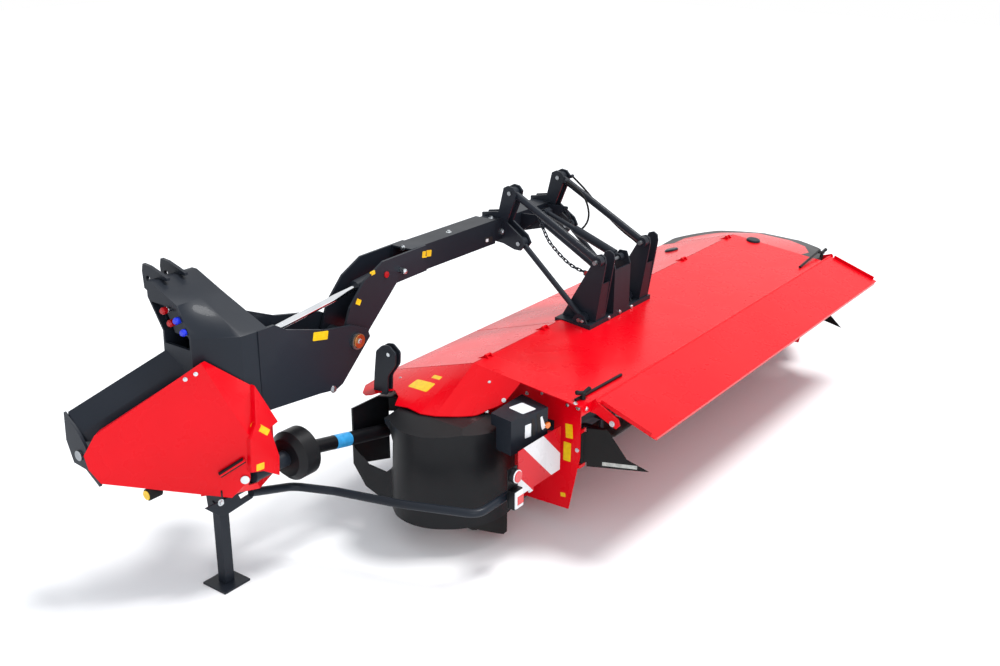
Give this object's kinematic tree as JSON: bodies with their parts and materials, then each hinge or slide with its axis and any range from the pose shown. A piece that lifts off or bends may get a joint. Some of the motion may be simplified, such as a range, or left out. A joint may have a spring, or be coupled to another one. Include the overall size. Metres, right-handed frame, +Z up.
{
  "type": "rear-mounted disc mower conditioner",
  "caption": "Rear-mounted disc mower with a tined conditioner, red hood, dark folding boom and headstock, standing on its skids and parking leg.",
  "frame": {"origin": "bottom centre of the bounding box, on the ground under the mower", "axes": "+X outboard along the cutterbar, +Y the direction of travel, +Z up"},
  "size_m": [6.114, 2.3455, 1.806],
  "materials": {
    "dark_paint": "semi-gloss powder coat, anthracite",
    "red_paint": "glossy red enamel",
    "black_plastic": "moulded black plastic with a fine grain",
    "black_rubber": "plain black rubber sheet",
    "curtain_cloth": "coated grey cloth",
    "plain_steel": "bare or zinc plated steel",
    "chrome": "hard chrome, polished",
    "board_face": "red and white retroreflective stripes"
  },
  "bodies": {
    "headstock": {"hitch_mast": "dark_paint", "top_link_hooks": "dark_paint", "boom_support_plates": "dark_paint", "boom_pivot_pin": "plain_steel", "lower_link_pins": "plain_steel", "drive_cover": "red_paint", "drive_gearbox": "dark_paint", "shaft_guard_bell": "black_plastic", "stand_bracket": "dark_paint", "light_bar": "dark_paint", "warning_board": "board_face", "marker_lamps": "black_plastic"},
    "parking_leg": {"parking_leg": "dark_paint"},
    "boom_and_deck": {"boom_arm": "dark_paint", "boom_inner_tube": "dark_paint", "link_hangers": "dark_paint", "suspension_links": "dark_paint", "link_pins": "plain_steel", "centre_bar": "dark_paint", "float_cylinder": "dark_paint", "link_towers": "dark_paint", "stay_chains": "dark_paint", "suspension_hoses": "black_rubber", "hood_panels": "red_paint", "outer_rim": "black_plastic", "front_curtain_centre": "curtain_cloth", "drum_cover": "black_plastic", "inner_shield": "black_plastic", "rubber_apron": "black_rubber", "belt_cover": "black_plastic", "side_plates": "red_paint", "deck_beam": "dark_paint", "deck_gearbox": "dark_paint", "cutterbar": "dark_paint", "skids": "plain_steel", "conditioner_shroud": "red_paint"},
    "lift_barrel": {"lift_barrel": "dark_paint"},
    "lift_rod": {"lift_rod": "chrome"},
    "driveline_inner": {"driveline_inner_half": "black_plastic"},
    "driveline_outer": {"driveline_outer_half": "black_plastic"},
    "front_guard_inner": {"front_guard_inner": "red_paint", "front_curtain_inner": "curtain_cloth"},
    "front_guard_outer": {"front_guard_outer": "red_paint", "front_curtain_outer": "curtain_cloth"},
    "rear_flap": {"rear_flap": "red_paint"},
    "swath_board_inner": {"swath_board_inner": "black_rubber"},
    "swath_board_outer": {"swath_board_outer": "black_rubber"},
    "rotor": {"conditioner_rotor": "dark_paint"},
    "disc_1": {"disc_1": "plain_steel"},
    "disc_2": {"disc_2": "plain_steel"},
    "disc_3": {"disc_3": "plain_steel"},
    "disc_4": {"disc_4": "plain_steel"},
    "disc_5": {"disc_5": "plain_steel"},
    "disc_6": {"disc_6": "plain_steel"},
    "disc_7": {"disc_7": "plain_steel"},
    "disc_8": {"disc_8": "plain_steel"},
    "disc_9": {"disc_9": "plain_steel"},
    "disc_10": {"disc_10": "plain_steel"}
  },
  "joints": [
    {"name": "boom_fold", "type": "hinge", "parent": "headstock", "child": "boom_and_deck", "pos_m": [-1.571, 0.5515, 1.185], "axis": [0, -1, 0], "range_deg": [0, 85]},
    {"name": "lift_barrel_pivot", "type": "hinge", "parent": "boom_and_deck", "child": "lift_barrel", "pos_m": [-1.113, 0.5515, 1.48], "axis": [0, -1, 0], "range_deg": [-61.6, 0]},
    {"name": "lift_rod_slide", "type": "slide", "parent": "lift_barrel", "child": "lift_rod", "axis": [0.9944, 0, 0.1057], "range_m": [0, 0.6339]},
    {"name": "driveline_swing", "type": "hinge", "parent": "headstock", "child": "driveline_inner", "pos_m": [-2.041, 0.4275, 0.682], "axis": [0, -1, 0], "range_deg": [0, 44.6]},
    {"name": "driveline_slide", "type": "slide", "parent": "driveline_inner", "child": "driveline_outer", "axis": [0.979, 0, -0.2039], "range_m": [0, 0.594]},
    {"name": "parking_leg_fold", "type": "hinge", "parent": "headstock", "child": "parking_leg", "pos_m": [-2.503, 0.5975, 0.515], "axis": [1, 0, 0], "range_deg": [0, 90]},
    {"name": "front_guard_inner_lift", "type": "hinge", "parent": "boom_and_deck", "child": "front_guard_inner", "pos_m": [-0.613, -0.0125, 0.995], "axis": [1, 0, 0], "range_deg": [0, 30]},
    {"name": "front_guard_outer_lift", "type": "hinge", "parent": "boom_and_deck", "child": "front_guard_outer", "pos_m": [1.557, -0.0125, 0.995], "axis": [1, 0, 0], "range_deg": [0, 85]},
    {"name": "rear_flap_tilt", "type": "hinge", "parent": "boom_and_deck", "child": "rear_flap", "pos_m": [0.832, -0.7845, 0.905], "axis": [1, 0, 0], "range_deg": [-15, 35]},
    {"name": "swath_board_inner_swing", "type": "hinge", "parent": "boom_and_deck", "child": "swath_board_inner", "pos_m": [-0.849, -0.6545, 0.55], "axis": [0, 0, 1], "range_deg": [-25, 30]},
    {"name": "swath_board_outer_swing", "type": "hinge", "parent": "boom_and_deck", "child": "swath_board_outer", "pos_m": [2.507, -0.6545, 0.55], "axis": [0, 0, -1], "range_deg": [-25, 30]},
    {"name": "rotor_turn", "type": "hinge", "parent": "boom_and_deck", "child": "rotor", "pos_m": [0.827, -0.3075, 0.465], "axis": [1, 0, 0], "continuous": true},
    {"name": "disc_1_turn", "type": "hinge", "parent": "boom_and_deck", "child": "disc_1", "pos_m": [-1.093, 0.2675, 0.08], "axis": [0, 0, 1], "continuous": true},
    {"name": "disc_2_turn", "type": "hinge", "parent": "boom_and_deck", "child": "disc_2", "pos_m": [-0.693, 0.2675, 0.08], "axis": [0, 0, 1], "continuous": true},
    {"name": "disc_3_turn", "type": "hinge", "parent": "boom_and_deck", "child": "disc_3", "pos_m": [-0.293, 0.2675, 0.08], "axis": [0, 0, 1], "continuous": true},
    {"name": "disc_4_turn", "type": "hinge", "parent": "boom_and_deck", "child": "disc_4", "pos_m": [0.107, 0.2675, 0.08], "axis": [0, 0, 1], "continuous": true},
    {"name": "disc_5_turn", "type": "hinge", "parent": "boom_and_deck", "child": "disc_5", "pos_m": [0.507, 0.2675, 0.08], "axis": [0, 0, 1], "continuous": true},
    {"name": "disc_6_turn", "type": "hinge", "parent": "boom_and_deck", "child": "disc_6", "pos_m": [0.907, 0.2675, 0.08], "axis": [0, 0, 1], "continuous": true},
    {"name": "disc_7_turn", "type": "hinge", "parent": "boom_and_deck", "child": "disc_7", "pos_m": [1.307, 0.2675, 0.08], "axis": [0, 0, 1], "continuous": true},
    {"name": "disc_8_turn", "type": "hinge", "parent": "boom_and_deck", "child": "disc_8", "pos_m": [1.707, 0.2675, 0.08], "axis": [0, 0, 1], "continuous": true},
    {"name": "disc_9_turn", "type": "hinge", "parent": "boom_and_deck", "child": "disc_9", "pos_m": [2.107, 0.2675, 0.08], "axis": [0, 0, 1], "continuous": true},
    {"name": "disc_10_turn", "type": "hinge", "parent": "boom_and_deck", "child": "disc_10", "pos_m": [2.507, 0.2675, 0.08], "axis": [0, 0, 1], "continuous": true}
  ],
  "couplings": [
    {"joint": "lift_barrel_pivot", "follows": "boom_fold", "ratio": -0.71864},
    {"joint": "lift_rod_slide", "follows": "boom_fold", "m_per_rad": 0.42661},
    {"joint": "driveline_swing", "follows": "boom_fold", "ratio": 0.51837},
    {"joint": "driveline_slide", "follows": "boom_fold", "m_per_rad": 0.39972},
    {"joint": "disc_2_turn", "follows": "disc_1_turn", "ratio": -1},
    {"joint": "disc_3_turn", "follows": "disc_1_turn", "ratio": 1},
    {"joint": "disc_4_turn", "follows": "disc_1_turn", "ratio": -1},
    {"joint": "disc_5_turn", "follows": "disc_1_turn", "ratio": 1},
    {"joint": "disc_6_turn", "follows": "disc_1_turn", "ratio": -1},
    {"joint": "disc_7_turn", "follows": "disc_1_turn", "ratio": 1},
    {"joint": "disc_8_turn", "follows": "disc_1_turn", "ratio": -1},
    {"joint": "disc_9_turn", "follows": "disc_1_turn", "ratio": 1},
    {"joint": "disc_10_turn", "follows": "disc_1_turn", "ratio": -1}
  ]
}
